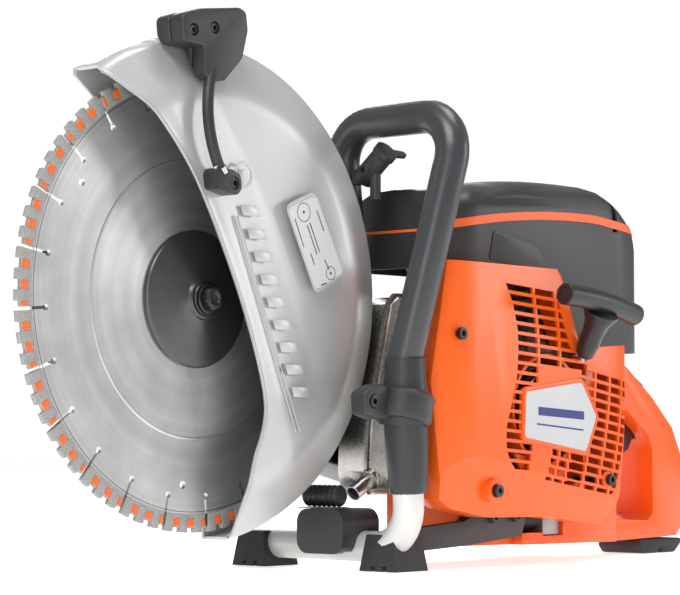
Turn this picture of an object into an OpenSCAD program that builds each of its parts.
// Petrol concrete cut-off saw, in millimetres.
// +X points to the rear handle, -Y to the starter side, +Z up.
// The origin is on the ground, under the middle of the machine.
// Sub-parts are drawn about one of two axes and moved by place():
// the blade axis, or the crankshaft axis for everything the engine carries.

/* [Blade] */
// Diameter over the cutting segments
blade_d = 354; // [295:1:400]
// Thickness of the steel core
core_t = 3.2; // [2.4:0.2:4]
// Thickness of the diamond segments
segment_t = 4.2; // [3:0.2:5]
// Height of a diamond segment
segment_h = 14; // [8:1:16]
// Number of diamond segments
segment_n = 24; // [18:1:30]
// Hole for the spindle boss
arbor_d = 25.4; // [20:0.1:30]
// Diameter of the clamping flanges
flange_d = 105; // [88:1:126]

/* [Blade guard] */
// From the blade's tip circle out to the guard's rim
guard_gap = 15; // [12:1:22]
// Distance from the blade out to the near panel
guard_near = 36; // [30:1:42]
// Distance from the blade out to the far panel
guard_far = 15; // [13:0.5:16]
// Thickness of the guard's wall
guard_t = 2.5; // [2:0.1:3]

/* [Frame] */
// Height of the guard's rim over the ground
ground_gap = 19; // [12:1:30]
// From the guard's rim back to the crankshaft
engine_back = 138; // [134:1:170]
// Height of the crankshaft over the ground
crank_h = 129; // [127:1:136]
// Outside diameter of the coated front handle
grip_d = 28; // [24:1:32]
// Outside diameter of the bare steel tube inside it
tube_d = 25; // [20:1:26]
// Wall of the steel tube
tube_wall = 2; // [1.5:0.1:3]

/* [Engine] */
// Bore of the cylinder
bore_d = 51; // [44:1:54]
// Stroke of the piston
stroke = 36; // [30:1:38]
// Length of the connecting rod between centres
rod_len = 66; // [62:1:70]
// Diameter of the crankshaft's journals
crank_d = 20; // [16:1:22]
// Diameter of the flywheel
flywheel_d = 104; // [88:1:112]

/* [Drive] */
// Diameter of the pulley on the clutch drum
drive_d = 58; // [50:1:64]
// Diameter of the pulley on the blade spindle
driven_d = 116; // [96:1:124]
// Width of the ribbed belt
belt_w = 14; // [10:1:16]
// Diameter of the blade spindle
spindle_d = 17; // [15:1:20]

/* [Covers] */
// Wall of the moulded covers
cover_wall = 2.6; // [2:0.1:3.2]
// Distance from the blade plane out to the starter cover's face
starter_y = 90; // [88:1:96]
// Half the width of the top cover
cover_half_w = 60; // [58:1:64]
// Diameter of the starter rope
rope_d = 4; // [3:0.5:5]

/* [Fits] */
// Radial gap of a shaft in its bearing
run_gap = 0.05; // [0.02:0.01:0.09]
// Gap between neighbours that move past each other
move_gap = 0.3; // [0.2:0.05:0.5]

/* [Hidden] */
blade_r = blade_d / 2;
core_r = blade_r - segment_h;
hole_ring_r = core_r - 13;
guard_r = blade_r + guard_gap;
guard_off = [-3, 7];
axle_h = guard_r + ground_gap;
crank_x = guard_r + engine_back;
crank_z = crank_h - axle_h;
rear_x = 292;
near_y = starter_y + 40;
far_y = 108;
foot_y = 114;
origin = [(crank_x + rear_x - blade_r) / 2, (foot_y - near_y) / 2, -axle_h];
arm_len = sqrt(crank_x * crank_x + crank_z * crank_z);
arm_tilt = atan2(crank_z, crank_x);
flange_r = flange_d / 2;
spindle_r = spindle_d / 2;
flange_hub_r = arbor_d / 2 - run_gap;
cone_w = 42;
arm_y = 34;
arm_t = 12;
boss_r = 28;
boss_y = 10.5;
boss_end = 62;
bearing_r = 20;
bearing_w = 12;
pulley_y = 71;
pulley_w = belt_w + 4;
belt_t = 4;
crank_r = stroke / 2;
piston_pin_z = crank_r + rod_len;
piston_top = piston_pin_z + 18;
piston_r = bore_d / 2 - run_gap - 0.1;
cyl_y = -2;
journal_r = crank_d / 2;
deck_z = 50;
fin_half = 43;
head_z = piston_top + 4;
stroke_pin_r = 7;
flywheel_y = -68;
reel_y = -83;
reel_w = 10;
reel_r = 36;
rope_r = reel_r - rope_d / 2 - 1;
tube_r = tube_d / 2;
grip_r = grip_d / 2;
fine = 96;
mid = 48;
small = 24;
pull_dir = [-4, -24, 42] / 48.54;
pull_base = [38, -(starter_y + 4), 44];
handle_pts = [[-116, 31, 118], [-130, 31, 236], [-130, -101, 236], [-170, -72, 30],
              [-158, -70, -110], [-152, 96, -110]];

// ---- frames and helpers ----
module place() translate([-origin.x, -origin.y, -origin.z]) children();
module engine() place() translate([crank_x, 0, crank_z]) children();
// A round bar along Y, from y0 to y1, about (x, z)
module along_y(r, y0, y1, x = 0, z = 0, fn = mid)
    translate([x, y0, z]) rotate([-90, 0, 0]) cylinder(r = r, h = y1 - y0, $fn = fn);
// A flat outline in X and Z, given depth from y0 to y1
module plate(y0, y1) translate([0, y1, 0]) rotate([90, 0, 0]) linear_extrude(y1 - y0) children();
// A section in (radius, y), turned about the Y axis
module turned(fn = fine) rotate([-90, 0, 0]) rotate_extrude($fn = fn) children();
module ring_y(ri, ro, y0, y1, fn = mid) turned(fn) translate([ri, y0]) square([ro - ri, y1 - y0]);
function unit(v) = v / norm(v);
// A round bar between two points
module rod(a, b, r, fn = small) {
    d = b - a;
    translate(a) rotate([0, acos(d.z / norm(d)), atan2(d.y, d.x)]) cylinder(r = r, h = norm(d), $fn = fn);
}
// A rectangle with round corners, centred
module round_rect(w, h, r) {
    square([w - 2 * r, h], center = true);
    square([w, h - 2 * r], center = true);
    for (sx = [-1, 1], sz = [-1, 1])
        translate([sx * (w / 2 - r), sz * (h / 2 - r)]) circle(r, $fn = small);
}
// Points of an arc about c, from angle a0 to a1
function arc(c, r, a0, a1, n = 32) = [for (i = [0:n]) let(a = a0 + (a1 - a0) * i / n)
    c + r * [cos(a), sin(a)]];
// Outline of a strap round the blade axis and the crankshaft
module drive_strap(r1, r2) {
    phi = acos((r1 - r2) / arm_len);
    rotate([0, 0, arm_tilt]) polygon(concat(arc([0, 0], r1, phi, 360 - phi),
        arc([arm_len, 0], r2, -phi, phi)));
}
// Points along a bent tube: straight runs joined by round bends
function bent_path(pts, bend) = let(last = len(pts) - 1) [for (i = [0:last])
    each i == 0 || i == last ? [pts[i]] : let(u = unit(pts[i] - pts[i - 1]), v = unit(pts[i + 1] - pts[i]),
        turn = acos(u * v), c = pts[i] + unit(v - u) * bend / cos(turn / 2),
        a = pts[i] - u * bend * tan(turn / 2) - c, steps = max(2, ceil(turn / 11)))
        [for (k = [0:steps]) let(t = turn * k / steps) c + a * cos(t) + u * bend * sin(t)]];
// A bent round bar through a list of corners
module bent_bar(pts, bend, r) hose(bent_path(pts, bend), r, 18, [1, 0, 0]);
// A smooth flexible hose: one closed polyhedron swept along points
module hose(pts, r, sides = 10, up = [0.31, 0.83, 0.46]) {
    n = len(pts);
    dir = [for (i = [0:n - 1]) unit(pts[min(i + 1, n - 1)] - pts[max(i - 1, 0)])];
    side = [for (i = [0:n - 1]) unit(cross(dir[i], up))];
    rings = [for (i = [0:n - 1], k = [0:sides - 1])
        pts[i] + r * (cos(360 * k / sides) * side[i] + sin(360 * k / sides) * cross(dir[i], side[i]))];
    walls = [for (i = [0:n - 2], k = [0:sides - 1]) let(k2 = (k + 1) % sides)
        [i * sides + k, (i + 1) * sides + k, (i + 1) * sides + k2, i * sides + k2]];
    polyhedron(rings, concat(walls, [[for (k = [0:sides - 1]) k]],
        [[for (k = [sides - 1:-1:0]) (n - 1) * sides + k]]));
}
// Points on a quadratic curve through control points a, b, c
function curve(a, b, c, n) = [for (i = [0:n]) let(t = i / n)
    (1 - t) * (1 - t) * a + 2 * t * (1 - t) * b + t * t * c];
// A socket-head screw pointing along +Y from its head at y
module screw_y(x, y, z, head_r = 4.5, head_h = 4, shank_r = 2.5, len = 12) {
    difference() {
        along_y(head_r, y, y + head_h, x, z, small);
        along_y(head_r * 0.5, y - 1, y + head_h * 0.6, x, z, 6);
    }
    along_y(shank_r, y + head_h, y + head_h + len, x, z, small);
}

// ---- blade and spindle ----
module keyhole(a) rotate([0, 0, a]) {
    translate([hole_ring_r, 0]) circle(2.5, $fn = small);
    translate([hole_ring_r, -1.1]) square([core_r - hole_ring_r + 2, 2.2]);
}
module blade_core() color("silver") place() difference() {
    plate(-core_t / 2, core_t / 2) difference() {
        circle(core_r, $fn = 192);
        circle(arbor_d / 2, $fn = fine);
        for (i = [0:segment_n - 1]) keyhole(124.5 + i * 360 / segment_n);
        for (a = [145, 265]) rotate([0, 0, a]) translate([hole_ring_r - 9, 0]) circle(3, $fn = small);
    }
}
module sector(r0, r1, a0, a1, t, n) plate(-t / 2, t / 2)
    polygon(concat(arc([0, 0], r1, a0, a1, n), arc([0, 0], r0, a1, a0, n)));
module blade_segments() {
    pitch = 360 / segment_n;
    half_gap = 0.4;
    tooth = (pitch - 2 * half_gap) / 6;
    foot_r = core_r / cos(tooth / 2);
    color("dimgray") place() for (i = [0:segment_n - 1]) {
        a = 124.5 + i * pitch + half_gap;
        sector(foot_r, blade_r - 4, a, a + 6 * tooth, core_t, 6);
        for (k = [0:2]) sector(foot_r, blade_r, a + 2 * k * tooth, a + (2 * k + 1) * tooth, segment_t, 1);
    }
}
module outer_flange() color([0.25, 0.25, 0.27]) place() turned() polygon([
    [flange_r - 12, -core_t / 2], [flange_r, -core_t / 2], [flange_r, -core_t / 2 - 2.5],
    [flange_r - 3, -core_t / 2 - 4], [30, -8], [17, -10.5], [15, -14], [5.2, -14], [5.2, -9.5],
    [spindle_r + 0.4, -9.5], [spindle_r + 0.4, -core_t / 2 - 1.5], [flange_r - 12, -core_t / 2 - 1.5]]);
module inner_flange() color([0.3, 0.3, 0.32]) place() turned() polygon([
    [spindle_r, -core_t / 2], [flange_hub_r, -core_t / 2], [flange_hub_r, core_t / 2 + 1.5],
    [flange_r - 12, core_t / 2 + 1.5], [flange_r - 12, core_t / 2], [flange_r, core_t / 2],
    [flange_r, core_t / 2 + 3], [flange_r - 4, 7], [spindle_r, 9]]);
module blade_bolt() color([0.2, 0.2, 0.22]) place() {
    ring_y(5, 13, -16, -14);
    difference() {
        along_y(8.5, -24, -16, fn = 6);
        along_y(9.6, -24.5, -23.2, fn = mid);
    }
    along_y(7.8, -24, -16, fn = mid);
    along_y(5, -16, 12, fn = small);
}
module blade_spindle() color("gray") place() difference() {
    union() {
        along_y(spindle_r, -9, pulley_y + pulley_w + 3);
        ring_y(spindle_r, spindle_r + 3.4, 33, 47);
    }
    along_y(5, -10, 13, fn = small);
}
module pulley(r, y0, hub_r, web_r) turned() polygon(concat(
    [[hub_r, y0], [r + 1.5, y0], [r + 1.5, y0 + 1.2], [r, y0 + 1.6]],
    [for (k = [0:belt_w / 2 - 1]) each [[r, y0 + 2.4 + 2 * k], [r - 1.4, y0 + 3.2 + 2 * k]]],
    [[r, y0 + pulley_w - 1.6], [r + 1.5, y0 + pulley_w - 1.2], [r + 1.5, y0 + pulley_w],
     [web_r, y0 + pulley_w], [web_r - 4, y0 + pulley_w * 0.55], [hub_r + 8, y0 + pulley_w * 0.55],
     [hub_r + 6, y0 + pulley_w], [hub_r, y0 + pulley_w]]));
module driven_pulley() color([0.35, 0.35, 0.37]) place() difference() {
    pulley(driven_d / 2, pulley_y, spindle_r, driven_d / 2 - 5);
    for (a = [0:60:300]) rotate([0, a, 0])
        along_y(7, pulley_y - 1, pulley_y + pulley_w + 1, (driven_d / 2 + spindle_r) / 2 + 1);
}
module ball_bearings() color("silver") {
    place() for (y = [20, 48]) ring_y(spindle_r + run_gap, bearing_r, y, y + bearing_w);
    engine() for (y = [-34, 18]) ring_y(journal_r + run_gap, journal_r + 12, y, y + 12);
}

// ---- cutting arm and drive ----
arm_bolt_pts = 30.5 * [[-1, 1], [1, 1], [1, -1], [-1, -1]];
module cutting_arm() color([0.33, 0.34, 0.36]) {
    difference() {
        union() {
            place() plate(arm_y, arm_y + arm_t) drive_strap(40, 62);
            place() along_y(boss_r, boss_y, boss_end, fn = fine);
            place() along_y(36, 17, arm_y, fn = fine);
        }
        place() plate(arm_y + 4, arm_y + arm_t + 1) rotate([0, 0, arm_tilt])
            translate([arm_len / 2 - 12, 0]) round_rect(arm_len - 190, 50, 12);
        place() along_y(bearing_r, boss_y + 4, boss_end + 1, fn = fine);
        place() along_y(spindle_r + 1.5, boss_y - 1, boss_end + 1, fn = fine);
        engine() along_y(34, arm_y - 1, arm_y + arm_t + 1, fn = fine);
        engine() for (p = arm_bolt_pts) {
            along_y(4.2, arm_y - 1, arm_y + arm_t + 1, p.x, p.y, small);
            along_y(7, arm_y + arm_t - 6, arm_y + arm_t + 1, p.x, p.y, small);
        }
    }
}
module drive_belt() color([0.12, 0.12, 0.12]) place() plate(pulley_y + 2, pulley_y + 2 + belt_w)
    difference() {
        drive_strap(driven_d / 2 + move_gap + belt_t, drive_d / 2 + move_gap + belt_t);
        drive_strap(driven_d / 2 + move_gap, drive_d / 2 + move_gap);
    }
drum_r = 40;
module clutch_drum() color([0.4, 0.4, 0.42]) engine() {
    pulley(drive_d / 2, pulley_y, journal_r - 1 + run_gap, drive_d / 2 - 4);
    turned() polygon([[journal_r - 1 + run_gap, 67], [drum_r - 3, 67], [drum_r - 3, 48], [drum_r, 48],
        [drum_r, 70], [journal_r + 8, 70], [journal_r + 8, pulley_y], [journal_r - 1 + run_gap, pulley_y]]);
}
module clutch_hub() color("gray") engine() difference() {
    union() {
        ring_y(journal_r - 1, 14, 49, 64);
        plate(51, 62) for (a = [90, 210, 330]) rotate([0, 0, a])
            translate([12, -5]) square([13, 10]);
    }
}
module clutch_shoes() color([0.45, 0.4, 0.35]) engine() plate(51, 62) difference() {
    circle(drum_r - 4, $fn = fine);
    circle(16, $fn = mid);
    for (a = [90, 210, 330]) rotate([0, 0, a]) translate([10, -6]) square([40, 12]);
}
cover_lug_pts = [for (a = [40, -12, -105]) 77 * [cos(a), sin(a)]];
module belt_cover() color([0.2, 0.2, 0.21]) difference() {
    union() {
        place() plate(arm_y + arm_t, far_y - 6) drive_strap(74, 72);
        place() plate(far_y - 6, far_y - 3) drive_strap(71, 69);
        place() plate(far_y - 3, far_y) drive_strap(66, 64);
        engine() for (p = cover_lug_pts) along_y(9, arm_y + arm_t, arm_y + arm_t + 10, p.x, p.y, small);
    }
    place() plate(arm_y + arm_t - 1, far_y - 8) drive_strap(74 - cover_wall, 72 - cover_wall);
    place() plate(far_y - 9, far_y - 5) drive_strap(66, 64);
    engine() for (p = cover_lug_pts) along_y(3.2, arm_y, arm_y + arm_t + 11, p.x, p.y, small);
    engine() for (k = [-3:3]) translate([k * 12 - 2.5, far_y - 10, -22]) cube([5, 20, 44]);
}

// ---- blade guard and its water fittings ----
guard_scale = guard_r / 192;
guard_edge = guard_scale * [[-110, 161], [-77, 136], [-42, 100], [-21, 68], [15, 0], [41, -69],
                            [41, -96], [24, -130], [24, -186]];
module guard_area() polygon(concat([[guard_edge[0].x, guard_r * 1.3]], guard_edge,
    [[guard_edge[8].x, -guard_r * 1.2], [guard_r * 1.3, -guard_r * 1.2], [guard_r * 1.3, guard_r * 1.3]]));
module guard_section(t) polygon([[0, -guard_near + t], [guard_r - cone_w - t / 3, -guard_near + t],
    [guard_r - t, -12 + t / 2], [guard_r - t, guard_far - t], [0, guard_far - t]]);
module guard_body(t) translate([guard_off.x, 0, guard_off.y]) turned(192) guard_section(t);
module blade_guard() color([0.72, 0.73, 0.73]) place() difference() {
    union() {
        intersection() {
            difference() {
                guard_body(0);
                guard_body(guard_t);
            }
            plate(-guard_near - 1, guard_far + 1) guard_area();
        }
        ring_y(boss_r, boss_r + 30, guard_far - guard_t, guard_far, fine);
    }
    along_y(boss_r + run_gap, guard_far - 5, guard_far + 5, fn = fine);
    along_y(2.6, -guard_near - 1, -guard_near + 5, 63, -52, small);
}
module guard_label() color([0.82, 0.83, 0.83]) place() plate(-guard_near - 1.2, -guard_near)
    polygon(guard_scale * [[63, 74], [97, 88], [132, 23], [98, 6]]);
handle_lift = guard_r - 192;
guard_handle_split = -25;
module guard_handle_outline() translate([0, handle_lift]) polygon([[-51, 207], [-46, 211], [-32, 215],
    [10, 221], [17, 218], [19, 204], [13, 182], [-6, 163], [-24, 162], [-27, 168], [-27, 187], [-49, 188]]);
module guard_handle_half(y0, y1, screw_side) difference() {
    plate(y0, y1) guard_handle_outline();
    guard_body(-0.05);
    for (p = [[-39, 198], [-17, 202]]) {
        along_y(2.5, -60, 0, p.x, p.y + handle_lift, small);
        if (screw_side) along_y(4.6, -45, -37, p.x, p.y + handle_lift, small);
    }
    hose_hole();
}
module guard_handle_front() color([0.24, 0.25, 0.26]) place()
    guard_handle_half(-40, guard_handle_split, true);
module guard_handle_rear() color([0.22, 0.23, 0.24]) place()
    guard_handle_half(guard_handle_split, -10, false);
hose_r = 4;
hose_n = 14;
hose_pts = curve([-17, -guard_near, 170 + handle_lift], [-40, -guard_near - 12, 128 + handle_lift],
                 [-15, -guard_near - 9, 92 + handle_lift], hose_n);
hose_down = unit(hose_pts[hose_n] - hose_pts[hose_n - 1]);
module guard_hose() color([0.1, 0.1, 0.1]) place() hose(hose_pts, hose_r, 12);
module hose_hole() hose(hose_pts, hose_r + 0.15, 12);
module guard_nozzle() color([0.2, 0.2, 0.22]) place() {
    y = -guard_near - 14;
    z = 85 + handle_lift;
    difference() {
        plate(y, -guard_near) translate([0, handle_lift])
            polygon([[-24, 80], [-3, 76], [2, 82], [0, 92], [-8, 95], [-22, 96], [-26, 92]]);
        hose_hole();
        along_y(2.1, y - 1, y + 10, -6, z, small);
    }
    screw_y(-6, y - 3, z, 4.5, 3, 2, 10);
    difference() {
        rod(hose_pts[hose_n] - hose_down * 11, hose_pts[hose_n] - hose_down * 6.5, hose_r + 2);
        rod(hose_pts[hose_n] - hose_down * 12, hose_pts[hose_n] - hose_down * 5, hose_r + 0.8);
    }
}

// ---- frame and anti-vibration parts ----
module tube_outside() bent_bar(handle_pts, 36, tube_r);
module front_handle() color([0.78, 0.78, 0.76]) engine() difference() {
    tube_outside();
    bent_bar(concat([handle_pts[0] - [0, 0, 1]], [for (i = [1:4]) handle_pts[i]],
        [handle_pts[5] + [0, 1, 0]]), 36, tube_r - tube_wall);
}
grip_pts = [handle_pts[0] + [0, 0, 3], handle_pts[1], handle_pts[2],
            handle_pts[2] + 0.94 * (handle_pts[3] - handle_pts[2])];
module handle_grip() color([0.24, 0.25, 0.27]) engine() difference() {
    bent_bar(grip_pts, 36, grip_r);
    tube_outside();
}
collar_screw = [-207, -76, 5];
module handle_collar() color([0.22, 0.23, 0.25]) engine() difference() {
    union() {
        rod([-168, -73.4, 44], [-166, -71.7, -2], grip_r + 5);
        rod([-168.5, -73.6, 46], [-168, -73.2, 41], grip_r + 8);
        translate([collar_screw.x - 10, collar_screw.y + 4, collar_screw.z - 7]) cube([38, 20, 22]);
    }
    bent_bar(grip_pts, 36, grip_r);
    tube_outside();
    along_y(3.3, -80, -40, collar_screw.x, collar_screw.z, small);
    along_y(5.3, -100, collar_screw.y + 4, collar_screw.x, collar_screw.z, small);
}
module handle_sleeve() color([0.2, 0.2, 0.21]) engine() difference() {
    rod([-166, -71.7, -2], [-160.5, -70, -66], tube_r + 5);
    rod([-168, -73.4, 44], [-166, -71.7, -2], grip_r + 5);
    tube_outside();
}
bar_y = [-46, -36];
bar_outline = [[-150, -116], [-150, -98], [-62, -92], [-34, -80], [16, -80],
               [20, -92], [14, -106], [-60, -112]];
module foot_block(x, y0, y1) intersection() {
    plate(y0, y1) polygon([[x - 20, -crank_h], [x + 20, -crank_h], [x + 17, -crank_h + 29],
                           [x - 17, -crank_h + 29]]);
    translate([x - 30, 0, 0]) rotate([90, 0, 90]) linear_extrude(60) polygon([[y0, -crank_h],
        [y1, -crank_h], [y1 - 5, -crank_h + 29], [y0 + 5, -crank_h + 29]]);
}
module front_feet() color([0.16, 0.16, 0.17]) engine() for (y = [-66, foot_y - 38]) difference() {
    foot_block(-152, y, y + 38);
    tube_outside();
    plate(bar_y.x - 0.1, bar_y.y + 0.1) offset(delta = 0.1) polygon(bar_outline);
    for (g = [10, 22]) translate([-200, y + g, -crank_h - 1]) cube([100, 4, 5]);
}
module rear_foot() color([0.16, 0.16, 0.17]) engine() difference() {
    plate(-22, 26) polygon([[226, -crank_h], [276, -crank_h], [286, -crank_h + 8],
                            [286, -116], [220, -116], [220, -crank_h + 6]]);
    translate([250, -30, -crank_h - 1]) cube([4, 64, 5]);
}
module front_bumper() color([0.2, 0.2, 0.21]) engine() difference() {
    translate([-184, 0, 0]) rotate([90, 0, 90]) linear_extrude(44) translate([4, -98])
        round_rect(50, 36, 11);
    tube_outside();
    translate([-176, -16, -120]) cube([11, 40, 32]);
}
module support_bar() color([0.17, 0.17, 0.18]) engine() {
    difference() {
        plate(bar_y.x, bar_y.y) polygon(bar_outline);
        tube_outside();
        for (x = [-26, 4]) along_y(3.1, -47, -35, x, -89, small);
    }
    for (x = [-26, 4]) screw_y(x, -51, -89, 5.5, 5, 3, 9);
}
module bellows(a, b, r) {
    d = b - a;
    n = floor(norm(d) / 5);
    translate(a) rotate([0, acos(d.z / norm(d)), atan2(d.y, d.x)]) rotate_extrude($fn = mid)
        polygon(concat([[0, 0]], [for (k = [0:n - 1]) each
            [[r - 2.5, norm(d) * k / n], [r, norm(d) * (k + 0.5) / n]]],
            [[r - 2.5, norm(d)], [0, norm(d)]]));
}
module av_springs() color([0.1, 0.1, 0.1]) engine() {
    bellows([22, -32, -92], [46, -32, -92], 11);
    bellows([22, 42, -88], [46, 42, -88], 11);
    bellows([-166, -4, -70], [-166, 34, -70], 9);
    bellows([-116, 30, 94], [-116, 30.5, 116], 9);
}
module av_bracket() color([0.45, 0.45, 0.46]) engine() {
    difference() {
        plate(-44, -20) polygon([[46, -106], [68, -106], [70, -78], [58, -70], [46, -80]]);
        along_y(3.1, -45, -30, 58, -88, small);
    }
    screw_y(58, -49, -88, 5.5, 5, 3, 12);
    plate(34, 52) polygon([[46, -104], [66, -104], [66, -72], [46, -76]]);
    plate(20, 34) polygon([[-128, 56], [-104, 56], [-104, 94], [-128, 94]]);
    plate(-4, 34) polygon([[-178, -80], [-158, -80], [-158, -79], [-178, -79]]);
    plate(bar_y.y, -22) polygon([[15, -102], [22, -102], [22, -60], [15, -60]]);
    plate(36, arm_y + arm_t) polygon([[17, -100], [22, -100], [22, -62], [17, -62]]);
    plug = unit(handle_pts[1] - handle_pts[0]);
    rod(handle_pts[0] - plug * 0.4, handle_pts[0] + plug * 12, (tube_r - tube_wall) * cos(10) - 0.3);
}

// ---- engine ----
module case_outline() {
    circle(48, $fn = fine);
    translate([-40, 0]) square([80, deck_z]);
    translate([-34, -60]) square([68, 30]);
}
module case_half(y0, y1) difference() {
    plate(y0, y1) case_outline();
    along_y(38.5, -18, 14, fn = fine);
    translate([-24, -18, 0]) cube([48, 32, deck_z + 1]);
    translate([0, cyl_y, piston_top - stroke - 31]) cylinder(h = 80, r = piston_r + 0.6, $fn = fine);
    along_y(journal_r + 12, -34, -22);
    along_y(journal_r + 12, 18, 30);
    along_y(journal_r + 1, -50, 40);
    for (p = arm_bolt_pts) along_y(4, arm_y - 14, arm_y + 1, p.x, p.y, small);
}
module crankcase_left() color([0.5, 0.5, 0.52]) engine() case_half(-44, cyl_y);
module crankcase_right() color([0.52, 0.52, 0.54]) engine() case_half(cyl_y, arm_y);
module crankshaft() color("silver") engine() {
    along_y(journal_r, -71, -16);
    along_y(journal_r, 12, 47);
    along_y(journal_r - 1, 47, 92);
    for (y = [-16, 2]) plate(y, y + 10) difference() {
        circle(35, $fn = fine);
        for (s = [-1, 1]) translate([s * 30, 16]) circle(14, $fn = mid);
    }
    difference() {
        along_y(16, -75 + 2.5, -68, fn = 6);
        along_y(journal_r, -80, -60);
    }
    ring_y(journal_r - 1, journal_r + 4, 89.3, 92);
}
module con_rod() color([0.6, 0.6, 0.62]) engine() {
    plate(-5.5, 1.5) difference() {
        union() {
            translate([0, crank_r]) circle(stroke_pin_r + 5, $fn = mid);
            translate([0, piston_pin_z]) circle(10, $fn = mid);
            translate([-5, crank_r]) square([10, rod_len]);
        }
        translate([0, piston_pin_z]) circle(6, $fn = mid);
    }
    along_y(stroke_pin_r, -5.9, 1.9, 0, crank_r);
}
module piston() color([0.7, 0.7, 0.72]) engine() {
    difference() {
        translate([0, cyl_y, piston_top - 30]) cylinder(h = 30, r = piston_r, $fn = fine);
        translate([0, cyl_y, piston_top - 31]) cylinder(h = 25, r = piston_r - 5, $fn = fine);
        for (z = [5, 9]) translate([0, cyl_y, piston_top - z]) difference() {
            cylinder(h = 1.5, r = piston_r + 1, $fn = fine);
            translate([0, 0, -1]) cylinder(h = 4, r = piston_r - 2, $fn = fine);
        }
        along_y(6, -40, 40, 0, piston_pin_z);
    }
    along_y(6, cyl_y - piston_r + 3, cyl_y + piston_r - 3, 0, piston_pin_z);
}
module cylinder_bore() translate([0, cyl_y, 0]) children();
module cylinder_block() cylinder_bore() {
    translate([0, 0, deck_z]) cylinder(h = head_z + 26 - deck_z, r = bore_d / 2 + 6, $fn = fine);
    translate([0, 0, deck_z]) linear_extrude(5) round_rect(76, 66, 8);
    for (z = [deck_z + 22:8:head_z + 26]) translate([0, 0, z]) linear_extrude(2.5)
        round_rect(2 * fin_half, 80, 9);
    translate([-52, 0, 72]) rotate([0, 90, 0]) cylinder(h = 24, r = 15, $fn = mid);
    translate([28, 0, 70]) rotate([0, 90, 0]) cylinder(h = 24, r = 14, $fn = mid);
}
module cylinder_barrel() color([0.62, 0.62, 0.64]) engine() difference() {
    cylinder_block();
    cylinder_bore() {
        translate([0, 0, deck_z - 1]) cylinder(h = head_z - deck_z + 1, r = bore_d / 2, $fn = fine);
        translate([-53, 0, 72]) rotate([0, 90, 0]) cylinder(h = 40, r = 10, $fn = mid);
        translate([20, 0, 70]) rotate([0, 90, 0]) cylinder(h = 40, r = 9, $fn = mid);
        translate([0, 0, head_z - 1]) cylinder(h = 40, r = 5, $fn = small);
    }
}
module spark_plug() color("white") engine() translate([0, cyl_y, head_z]) {
    cylinder(h = 26, r = 5, $fn = small);
    translate([0, 0, 26]) cylinder(h = 8, r = 9, $fn = 6);
    translate([0, 0, 34]) cylinder(h = 20, r = 5, $fn = small);
    translate([0, 0, 44]) cylinder(h = 22, r = 8.5, $fn = small);
}
muffler_back = -52;
pipe_r = 6.3;
pipe_root = [-148.4, -21, -55.1];
pipe_dir = unit([-22.4, 0, -12.2]);
module muffler() color([0.7, 0.69, 0.67]) engine() difference() {
    union() {
        plate(-50, 14) polygon([[-147, -66], [-151, -50], [-149, -14], [-140, 22], [-130, 62],
            [-124, 86], [-116, 92], [muffler_back, 92], [muffler_back, -66]]);
        plate(-20, -16) polygon([[-149, -69], [-154, -52], [-152, -14], [-143, 24], [-133, 62],
            [-126, 88], [-118, 95], [muffler_back, 95], [muffler_back, -69]]);
    }
    plate(-48, 12) polygon([[-145, -64], [-149, -50], [-147, -14], [-138, 22], [-128, 62],
        [-122, 84], [-116, 90], [muffler_back - 2, 90], [muffler_back - 2, -64]]);
    translate([-60, cyl_y, 72]) rotate([0, 90, 0]) cylinder(h = 20, r = 10, $fn = mid);
    rod(pipe_root, pipe_root + pipe_dir * 30, pipe_r + 2.25);
}
module exhaust_pipe() color([0.75, 0.75, 0.77]) engine() difference() {
    union() {
        rod(pipe_root + pipe_dir * 5, pipe_root + pipe_dir * 26.5, pipe_r, mid);
        rod(pipe_root, pipe_root + pipe_dir * 5, pipe_r + 2.2, mid);
    }
    rod(pipe_root - pipe_dir * 5, pipe_root + pipe_dir * 30, 5.2, mid);
}
module carburettor() color([0.55, 0.55, 0.57]) engine() difference() {
    union() {
        translate([54, -22, 52]) cube([34, 40, 38]);
        translate([52, cyl_y, 70]) rotate([0, 90, 0]) cylinder(h = 44, r = 16, $fn = mid);
    }
    translate([51, cyl_y, 70]) rotate([0, 90, 0]) cylinder(h = 50, r = 9, $fn = mid);
}
module air_filter() color([0.85, 0.8, 0.65]) engine() difference() {
    translate([98, -46, 70]) cube([60, 92, 96]);
    translate([104, -40, 76]) cube([48, 80, 84]);
    translate([90, cyl_y, 80]) rotate([0, 90, 0]) cylinder(h = 20, r = 12, $fn = mid);
    for (k = [0:7]) translate([157, -40 + k * 11, 76]) cube([3, 5, 84]);
}
flywheel_r = flywheel_d / 2;
module flywheel() color([0.6, 0.6, 0.6]) engine() {
    ring_y(journal_r, 20, flywheel_y, -46);
    ring_y(19, flywheel_r, -52, -47);
    for (a = [0:18:342]) rotate([0, a, 0]) translate([22, flywheel_y + 1, -1])
        cube([flywheel_r - 24, 15.5, 2.4]);
}

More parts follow.
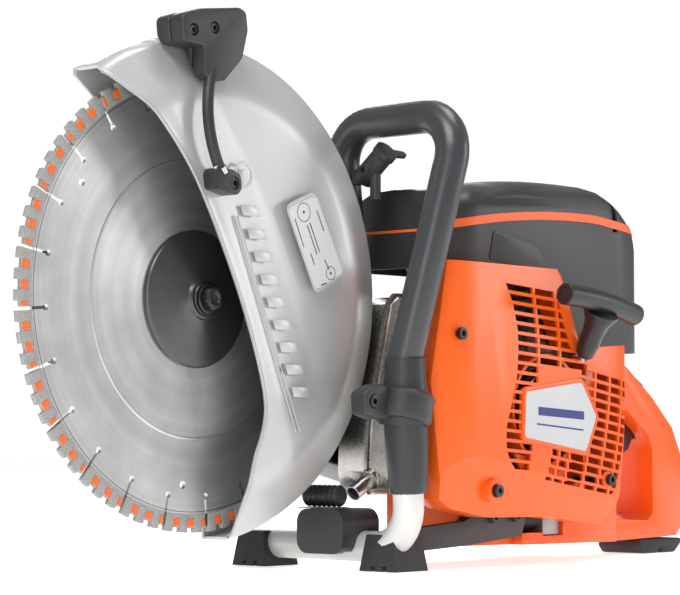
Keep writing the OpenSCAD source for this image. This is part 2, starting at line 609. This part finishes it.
// ---- starter ----
module starter_reel() color([0.15, 0.15, 0.16]) engine() turned() polygon([[6 + run_gap, reel_y],
    [reel_r, reel_y], [reel_r, reel_y + 2], [rope_r - rope_d / 2, reel_y + 3],
    [rope_r - rope_d / 2, reel_y + reel_w - 3], [reel_r, reel_y + reel_w - 2], [reel_r, reel_y + reel_w],
    [22, reel_y + reel_w], [20, reel_y + 4], [12, reel_y + 4], [10, reel_y + reel_w - 1],
    [6 + run_gap, reel_y + reel_w - 1]]);
module recoil_spring() color([0.5, 0.52, 0.55]) engine() for (r = [14:3:32])
    ring_y(r, r + 1, -starter_y + cover_wall + 0.5, reel_y - 0.5);
module starter_rope() color([0.9, 0.9, 0.88]) engine()
    rod(pull_base + pull_dir * 2, pull_base + pull_dir * 6, rope_d / 2);
module pull_handle() color([0.13, 0.13, 0.14]) engine() difference() {
    union() {
        rod(pull_base + pull_dir * 6, pull_base + pull_dir * 46, 8);
        hull() for (p = [[-12, -34, 94], [24, -38, 92], [56, -37, 87], [74, -34, 82]])
            translate([p.x + 2, p.y - starter_y + 8, p.z]) sphere(r = 9.4, $fn = 20);
    }
    rod(pull_base + pull_dir * 5, pull_base + pull_dir * 12, rope_d / 2);
}
starter_outline = [[-131, 119], [-144, 22], [-138, -50], [-132, -72], [-116, -80], [-68, -88],
    [2, -89], [80, -97], [94, -80], [117, 50], [112, 57], [62, 54], [38, 58],
    [14, 112], [8, 117]];
front_curve = [[-160, -48], [-154, -62], [-142, -76], [-128, -86], [-112, -starter_y],
    [90, -starter_y], [106, -86], [118, -74], [118, -48]];
module starter_block(inset, y1) intersection() {
    plate(-starter_y + inset, y1) offset(delta = -inset) polygon(starter_outline);
    translate([0, 0, -120]) linear_extrude(260) offset(delta = -inset) polygon(front_curve);
}
badge_pts = [[-36, 15], [40, 24], [61, -5], [46, -35], [-38, -23]];
vent_row = 8.1;
vent_open = 5.4;
vent_rib = 2.6;
vent_field = [[-62, 104], [-52, 87], [-46, 66], [-45, 50], [-47, 27], [-56, -1], [-61, -14], [-61, -33],
    [-55, -44], [-44, -53], [6, -60], [71, -70], [84, -72], [89, -66], [100, -35], [109, 2], [112, 27],
    [60, 40], [34, 48], [27, 53], [17, 76], [5, 102]];
module vent_rows(from, count, anchor, tilt, columns) for (row = [0:count - 1], c = columns) {
    z = from - row * vent_row;
    bow = -0.0018 * pow(z - 40, 2);
    translate([anchor, z]) rotate(-tilt) translate([c.x + bow + vent_rib / 2 - anchor, -vent_open])
        square([c.y - c.x - vent_rib, vent_open]);
}
module vents() plate(-starter_y - 1, -starter_y + cover_wall + 1.5) intersection() {
    difference() {
        polygon(vent_field);
        offset(delta = 3.5) polygon(badge_pts);
    }
    union() {
        vent_rows(102.5, 8, -50, 4, [[-80, -17], [-17, 12], [12, 50]]);
        vent_rows(37.7, 11, -50, 4, [[-80, -17]]);
        vent_rows(29, 13, 82, 9, [[40, 61.5], [61.5, 82], [82, 100], [100, 140]]);
        vent_rows(-45, 4, 82, 9, [[12, 23], [23, 37], [37, 60]]);
    }
}
cover_bolt_pts = [[-120, 60], [-74, -66], [80, -59]];
module starter_cover() color([1, 0.36, 0.06]) engine() {
    difference() {
        starter_block(0, -52);
        starter_block(cover_wall, -50);
        vents();
        plate(-cover_half_w - move_gap, -51) polygon([[-162, 116.8], [2, 116.8], [37, 51.8],
            [130, 51.8], [130, 130], [-162, 130]]);
        for (p = cover_bolt_pts) along_y(3, -100, -50, p.x, p.y, small);
        rod(pull_base - pull_dir * 12, pull_base + pull_dir * 4, rope_d / 2 + 0.6);
    }
    difference() {
        for (p = cover_bolt_pts) along_y(7, -starter_y + cover_wall, -53, p.x, p.y, small);
        for (p = cover_bolt_pts) along_y(3, -100, -50, p.x, p.y, small);
    }
    along_y(6, -starter_y + cover_wall, reel_y + reel_w);
    difference() {
        rod(pull_base - pull_dir * 3.5, pull_base + pull_dir * 2, 9);
        starter_block(0.01, -50);
        rod(pull_base - pull_dir * 12, pull_base + pull_dir * 4, rope_d / 2 + 0.6);
    }
}
module starter_badge() color([0.8, 0.81, 0.82]) engine()
    plate(-starter_y - 1.2, -starter_y) polygon(badge_pts);
module case_screws() color("black") engine() {
    for (p = cover_bolt_pts) screw_y(p.x, -starter_y - 3.5, p.y, 5, 3.5, 3, 38);
    mirror([0, 1, 0]) {
        for (p = arm_bolt_pts) screw_y(p.x, -(arm_y + arm_t), p.y, 6.5, 6, 4, 18);
        for (p = cover_lug_pts) screw_y(p.x, -(arm_y + arm_t + 14), p.y, 5, 4, 3, 9.5);
    }
    screw_y(collar_screw.x, collar_screw.y, collar_screw.z, 5, 4, 3.2, 18);
}

// ---- top cover, loft of sections along X ----
cover_front = -98;
cover_rear = 172;
cover_n = 24;
function clamp01(v) = max(0, min(1, v));
function round_in(u, r) = r * (1 - sqrt(1 - clamp01(u) * clamp01(u)));
function crown_z(x) = 200 - 24 * pow((x - 85) / 215, 2) - 34 * pow(clamp01((x - 108) / 64), 2);
function side_y(x) = cover_half_w - round_in((-62 - x) / 36, 26) - round_in((x - 146) / 26, 12);
function skirt_z(x, from) = 117 - 65 * clamp01((x - from) / 35);
function cover_section(x, inset, low, far_low) = let(w = side_y(x) - inset, top = crown_z(x) - inset,
    s = top - 24)
    concat([[x, -w, low], [x, -w, s]],
        [for (a = [15:15:165]) [x, -w * sign(cos(a)) * pow(abs(cos(a)), 0.62), s + 24 * pow(sin(a), 0.8)]],
        [[x, w, s], [x, w, far_low]]);
module cover_loft(inset, x0, x1, drop) {
    xs = [for (i = [0:cover_n]) x0 + (x1 - x0) * (0.5 - 0.5 * cos(180 * i / cover_n))];
    rings = [for (x = xs) cover_section(x, inset, drop > 0 ? 0 : skirt_z(x, 2),
        drop > 0 ? 0 : skirt_z(x, 37))];
    m = len(rings[0]);
    polyhedron([for (r = rings) each r], concat(
        [for (i = [0:cover_n - 1], k = [0:m - 1]) let(k2 = (k + 1) % m)
            [i * m + k, i * m + k2, (i + 1) * m + k2, (i + 1) * m + k]],
        [[for (k = [m - 1:-1:0]) k]], [[for (k = [0:m - 1]) cover_n * m + k]]));
}
slot_box = [[128, -70, 158], [7, 30, 26]];
module top_cover() color([0.24, 0.24, 0.25]) engine() difference() {
    cover_loft(0, cover_front, cover_rear, 0);
    cover_loft(cover_wall, cover_front + cover_wall, cover_rear - cover_wall, 1);
    translate(slot_box[0]) cube(slot_box[1]);
}
stripe_h = 7;
function stripe_z(x) = crown_z(min(x, 118)) - 29 - round_in((x - 90) / 130, 34);
module cover_stripe() color([1, 0.4, 0.1]) engine() intersection() {
    difference() {
        cover_loft(-0.7, cover_front - 0.7, cover_rear + 0.7, 0);
        cover_loft(0, cover_front, cover_rear, 0);
    }
    plate(-cover_half_w - 2, cover_half_w + 2) polygon(concat(
        [for (x = [cover_front - 2:16:cover_rear + 8]) [x, stripe_z(x) - stripe_h]],
        [for (x = [cover_rear + 6:-16:cover_front - 2]) [x, stripe_z(x)]]));
}

// ---- tank, rear handle and controls ----
handle_loop = [[120, 50], [166, 50], [202, 42], [243, 14], [275, -14], [289, -40], [rear_x, -62],
    [290, -105], [280, -114], [190, -116], [120, -115]];
grip_hole = [[160, -88], [160, 10], [200, 4], [236, -20], [243, -34], [243, -92], [236, -99], [192, -97]];
tank_y = [-46, 62];
module tank_handle() color([1, 0.36, 0.06]) engine() difference() {
    union() {
        plate(tank_y.x, 44) polygon([[-56, -113], [150, -115], [150, 44], [102, 44],
            [102, -62], [-56, -70]]);
        plate(44, tank_y.y) polygon([[92, -113], [150, -113], [150, 44], [102, 44], [92, 20]]);
        plate(-20, 24) polygon(handle_loop);
    }
    plate(-40, 50) polygon([[74, -108], [140, -109], [140, 36], [108, 36], [108, -66], [74, -68]]);
    plate(-30, 26) polygon([[-50, -107], [66, -108], [66, -70], [-50, -76]]);
    plate(-30, 30) polygon(grip_hole);
    translate([44, -47, -107]) cube([28, 29, 42]);
    translate([16, 26, -105]) cube([56, 40, 42]);
    translate([14, -47, -104]) cube([30, 29, 42]);
    translate([-57, -47, -114]) cube([72, 12, 50]);
    translate([202, -5, -24]) cube([42, 10, 25]);
    translate([201, -5, -2]) cube([28, 10, 15]);
    along_y(10.5, tank_y.x - 1, tank_y.x + 3.5, 134, -8);
    along_y(3.6, tank_y.x - 1, tank_y.x + 14, 134, 22, small);
    translate([222, -5, 8]) cube([28, 10, 30]);
    translate([168, -21, 30]) cube([18, 9, 8]);
    along_y(13, 45, 70, 124, -46);
}
trigger_pivot = [206, 4];
module throttle_trigger() color([0.13, 0.13, 0.14]) engine() difference() {
    plate(-4.6, 4.6) polygon([[203, 4], [209, 8], [232, -10], [234, -22], [226, -34], [216, -38],
        [211, -30], [206, -6]]);
    along_y(2, -6, 6, trigger_pivot.x, trigger_pivot.y, small);
}
lock_pivot = [226, 22];
module throttle_lockout() color([0.13, 0.13, 0.14]) engine() difference() {
    plate(-4.6, 4.6) polygon([[224, 20], [222, 32], [236, 34], [250, 26], [252, 17], [246, 14]]);
    along_y(2, -6, 6, lock_pivot.x, lock_pivot.y - 1, small);
}
module stop_switch() color([0.13, 0.13, 0.14]) engine() translate([169, -23, 30.5]) cube([10, 10, 7]);
module fuel_cap() color([0.12, 0.12, 0.13]) engine() difference() {
    union() {
        along_y(18, tank_y.y + 0.3, tank_y.y + 14, 124, -46, fine);
        along_y(12.9, tank_y.y - 8, tank_y.y + 0.3, 124, -46);
    }
    for (a = [0:30:330]) along_y(2.2, tank_y.y + 3, tank_y.y + 15,
        124 + 19 * cos(a), -46 + 19 * sin(a), small);
}
module choke_knob() color([0.13, 0.13, 0.14]) engine() {
    along_y(3.5, tank_y.x - 10, tank_y.x + 13, 134, 22, small);
    along_y(8, tank_y.x - 16, tank_y.x - 10, 134, 22, mid);
}
module purge_bulb() color([0.5, 0.5, 0.48]) engine() translate([134, tank_y.x - 0.3, -8])
    turned() polygon(concat([[0, 0]], [for (a = [0:15:75]) [10 * cos(a), -9 * sin(a)]], [[0, -9]]));
valve_a = [-126, 9, 190];
valve_b = [-126, -13, 208];
valve_dir = unit(valve_b - valve_a);
module water_valve() color([0.42, 0.42, 0.44]) engine() {
    difference() {
        union() {
            rod(valve_a, valve_b, 9, mid);
            translate([-126, -5, 172]) cylinder(h = 26, r = 4.5, $fn = mid);
        }
        translate([-137, 1, 196.5]) rotate([0, 90, 0]) cylinder(h = 5, r = 3, $fn = 6);
    }
    translate([-131, 8, 186]) cube([12, 9, 12]);
}
module water_lever() color([0.3, 0.3, 0.31]) engine() {
    rod(valve_b + valve_dir * 0.3, valve_b + valve_dir * 6, 10, mid);
    hull() {
        rod(valve_b + valve_dir * 2, valve_b + valve_dir * 5, 4);
        translate([22, 0, 0]) rod(valve_b + valve_dir * 2, valve_b + valve_dir * 5, 3);
    }
}

// ---- build ----
blade_core();
blade_segments();
outer_flange();
inner_flange();
blade_bolt();
blade_spindle();
driven_pulley();
ball_bearings();
cutting_arm();
drive_belt();
clutch_drum();
clutch_hub();
clutch_shoes();
belt_cover();
case_screws();
blade_guard();
guard_label();
guard_handle_front();
guard_handle_rear();
guard_hose();
guard_nozzle();
front_handle();
handle_grip();
handle_collar();
handle_sleeve();
front_feet();
rear_foot();
front_bumper();
support_bar();
av_springs();
av_bracket();
crankcase_left();
crankcase_right();
crankshaft();
con_rod();
piston();
cylinder_barrel();
spark_plug();
muffler();
exhaust_pipe();
carburettor();
air_filter();
flywheel();
starter_reel();
recoil_spring();
starter_rope();
pull_handle();
starter_cover();
starter_badge();
top_cover();
cover_stripe();
tank_handle();
throttle_trigger();
throttle_lockout();
stop_switch();
fuel_cap();
choke_knob();
purge_bulb();
water_valve();
water_lever();
